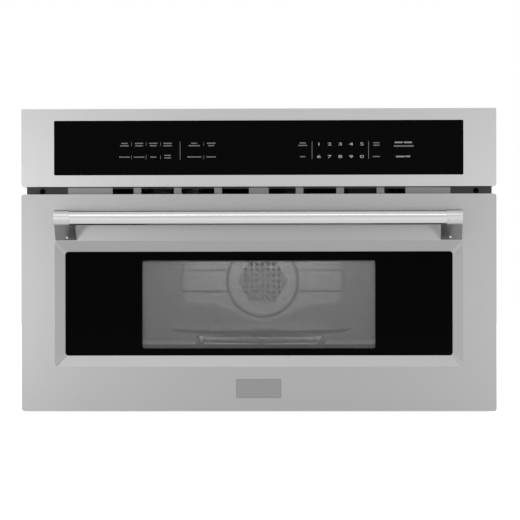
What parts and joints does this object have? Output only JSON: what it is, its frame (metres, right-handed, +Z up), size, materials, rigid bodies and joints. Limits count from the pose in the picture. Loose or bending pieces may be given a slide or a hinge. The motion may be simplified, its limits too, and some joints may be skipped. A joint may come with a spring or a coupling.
{
  "type": "built-in microwave oven",
  "caption": "Built-in convection microwave with a wide stainless face, black control glass, a bar handle and a drop-down window door over a turntable cavity.",
  "frame": {"origin": "under the middle of the whole part, on the plane of the base skids", "axes": "+X to the right seen from the front, +Y back from the face, +Z up"},
  "size_m": [0.759, 0.6086, 0.4865],
  "materials": {
    "stainless": "fine horizontal brush",
    "frame_paint": "satin dark paint",
    "grille_paint": "satin grey paint",
    "zinc_sheet": "plain zinc-coated sheet",
    "cavity_enamel": "grey enamel",
    "door_enamel": "black enamel",
    "control_glass": "black gloss",
    "door_glass": "dark tint, black border",
    "clear_glass": "clear",
    "black_plastic": "moulded",
    "white_plastic": "moulded",
    "board": "circuit board",
    "mica": "mica sheet",
    "motor_steel": "plain steel",
    "bright_steel": "plain",
    "bare_aluminium": "mill"
  },
  "bodies": {
    "cabinet": {"control_fascia": "stainless", "front_frame": "frame_paint", "vent_grille": "grille_paint", "base_pan": "zinc_sheet", "side_panel_left": "zinc_sheet", "side_panel_right": "zinc_sheet", "top_panel": "zinc_sheet", "rear_panel": "zinc_sheet", "component_shelf": "zinc_sheet", "convection_housing": "zinc_sheet", "blower_housing": "zinc_sheet", "waveguide": "zinc_sheet", "hinge_brackets": "zinc_sheet", "lamp_housing": "zinc_sheet", "cavity_floor": "cavity_enamel", "cavity_ceiling": "cavity_enamel", "cavity_side_left": "cavity_enamel", "cavity_side_right": "cavity_enamel", "cavity_back": "cavity_enamel", "fan_cover": "cavity_enamel", "control_glass": "control_glass", "lamp_lens": "clear_glass", "lamp_bulb": "clear_glass", "glass_carrier": "black_plastic", "latch_switches": "black_plastic", "mains_inlet": "black_plastic", "display_module": "black_plastic", "control_board": "board", "noise_filter": "board", "waveguide_cover": "mica", "convection_motor": "motor_steel", "blower_motor": "motor_steel", "turntable_motor": "motor_steel", "power_transformer": "motor_steel", "thermostats": "motor_steel", "convection_heater": "bright_steel", "magnetron": "bare_aluminium", "capacitor": "bare_aluminium"},
    "door": {"door_skin": "stainless", "door_glass": "door_glass", "door_screen": "door_enamel", "door_frame": "door_enamel", "door_inner_glass": "clear_glass", "choke_cover": "black_plastic", "handle_bar": "stainless", "handle_bracket_left": "stainless", "handle_bracket_right": "stainless", "handle_set_screws": "bright_steel", "name_plate": "stainless", "hinge_clevises": "zinc_sheet", "hinge_pins": "bright_steel", "latch_hooks": "black_plastic"},
    "turntable": {"turntable_plate": "clear_glass", "turntable_coupler": "white_plastic"},
    "roller_ring": {"roller_ring": "white_plastic"},
    "roller_1": {"roller_1": "white_plastic"},
    "roller_2": {"roller_2": "white_plastic"},
    "roller_3": {"roller_3": "white_plastic"},
    "convection_fan": {"convection_fan": "bare_aluminium"},
    "blower_wheel": {"blower_wheel": "bare_aluminium"}
  },
  "joints": [
    {"name": "door_hinge", "type": "hinge", "parent": "cabinet", "child": "door", "pos_m": [0, -0.21365, 0.022], "axis": [1, 0, 0], "range_deg": [0, 90], "stiffness_Nm_per_rad": 6, "springref_deg": -28.65},
    {"name": "turntable_spin", "type": "hinge", "parent": "cabinet", "child": "turntable", "pos_m": [0, -0.02545, 0.1], "axis": [0, 0, 1], "continuous": true},
    {"name": "roller_ring_spin", "type": "hinge", "parent": "cabinet", "child": "roller_ring", "pos_m": [0, -0.02545, 0.1], "axis": [0, 0, 1], "continuous": true},
    {"name": "convection_fan_spin", "type": "hinge", "parent": "cabinet", "child": "convection_fan", "pos_m": [0, 0.2, 0.207], "axis": [0, 1, 0], "continuous": true},
    {"name": "blower_spin", "type": "hinge", "parent": "cabinet", "child": "blower_wheel", "pos_m": [-0.15, 0.22135, 0.39], "axis": [1, 0, 0], "continuous": true},
    {"name": "roller_1_spin", "type": "hinge", "parent": "roller_ring", "child": "roller_1", "pos_m": [0, 0.09255, 0.10915], "axis": [0, 1, 0], "continuous": true},
    {"name": "roller_2_spin", "type": "hinge", "parent": "roller_ring", "child": "roller_2", "pos_m": [-0.10219, -0.08445, 0.10915], "axis": [-0.866, -0.5, 0], "continuous": true},
    {"name": "roller_3_spin", "type": "hinge", "parent": "roller_ring", "child": "roller_3", "pos_m": [0.10219, -0.08445, 0.10915], "axis": [0.866, -0.5, 0], "continuous": true}
  ],
  "couplings": [
    {"joint": "roller_ring_spin", "follows": "turntable_spin", "ratio": 0.5},
    {"joint": "roller_1_spin", "follows": "turntable_spin", "ratio": -6.5556},
    {"joint": "roller_2_spin", "follows": "turntable_spin", "ratio": -6.5556},
    {"joint": "roller_3_spin", "follows": "turntable_spin", "ratio": -6.5556}
  ]
}
